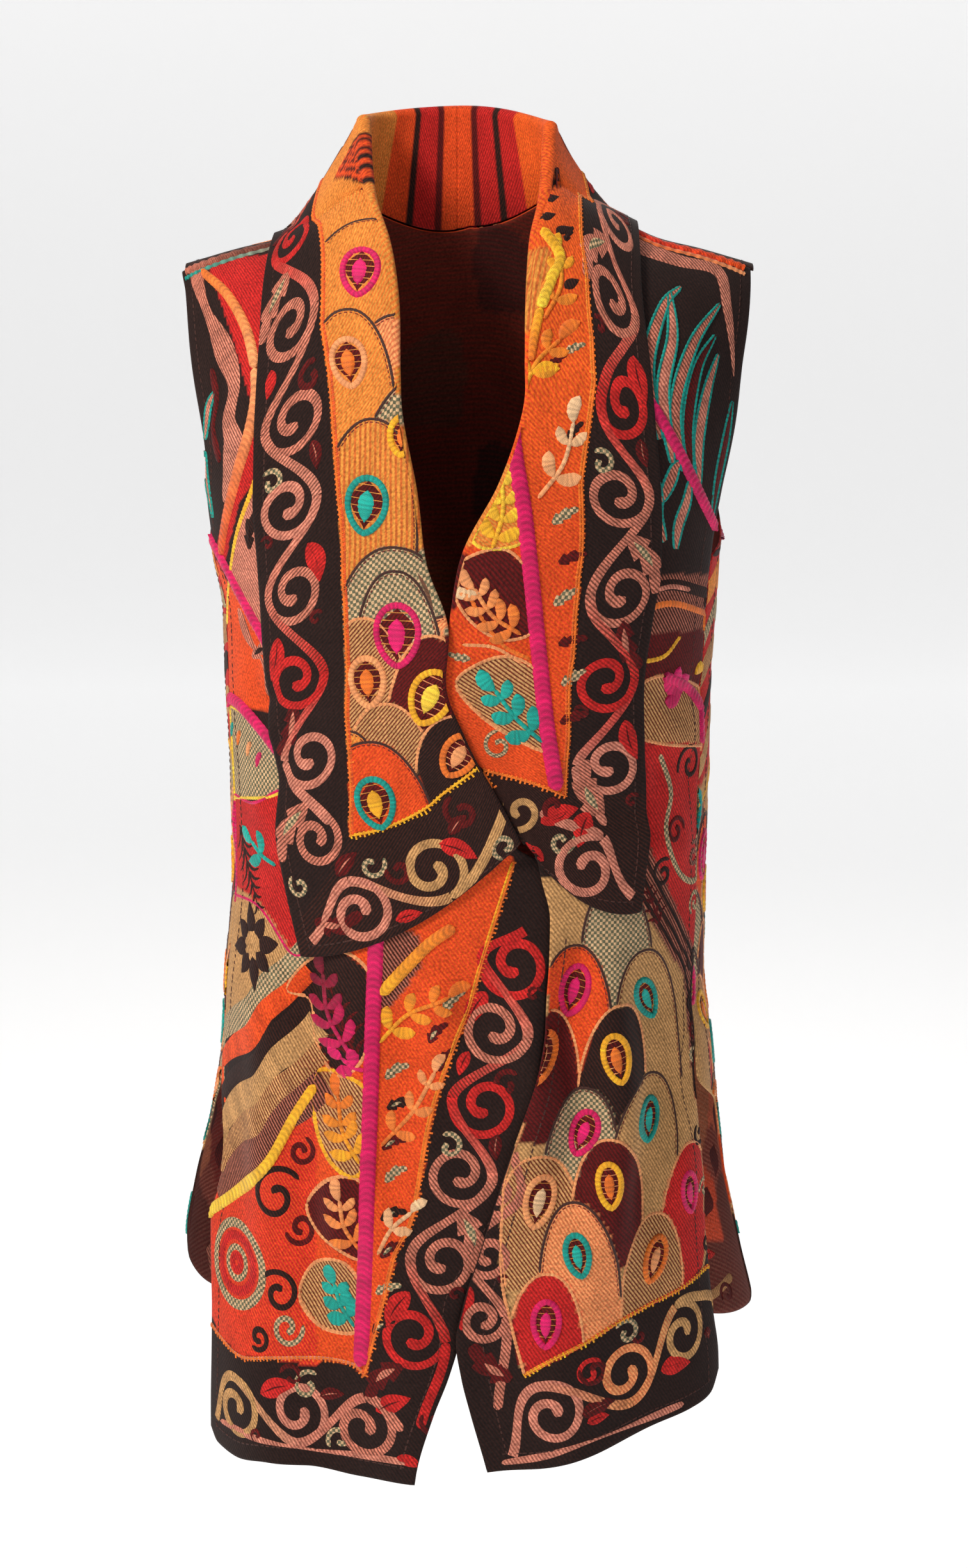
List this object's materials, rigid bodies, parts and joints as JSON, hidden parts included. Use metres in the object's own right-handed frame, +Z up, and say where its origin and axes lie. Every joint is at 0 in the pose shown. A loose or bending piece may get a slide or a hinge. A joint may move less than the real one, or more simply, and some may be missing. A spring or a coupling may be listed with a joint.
{
  "type": "embroidered vest",
  "caption": "Long open-front sleeveless vest in its worn form, with a wide shawl collar, slanting fronts and side vents, pieced from woven and embroidered shawl cloth.",
  "frame": {"origin": "midway between the shoulders, at the height where the neck meets them, where the wearer holds the garment up", "axes": "+Z up, +X towards the wearer's left, -Y towards the front"},
  "size_m": [0.3946, 0.2623, 0.8957],
  "materials": {
    "back_cloth": "woven wool twill with chain-stitch embroidery",
    "front_right_cloth": "woven wool twill with chain-stitch embroidery",
    "front_left_cloth": "woven wool twill with chain-stitch embroidery",
    "collar_right_cloth": "woven wool twill with chain-stitch embroidery",
    "collar_left_cloth": "woven wool twill with chain-stitch embroidery"
  },
  "bodies": {
    "root": {"back": "back_cloth", "front_right": "front_right_cloth", "front_left": "front_left_cloth", "collar_right": "collar_right_cloth", "collar_left": "collar_left_cloth"}
  },
  "joints": []
}
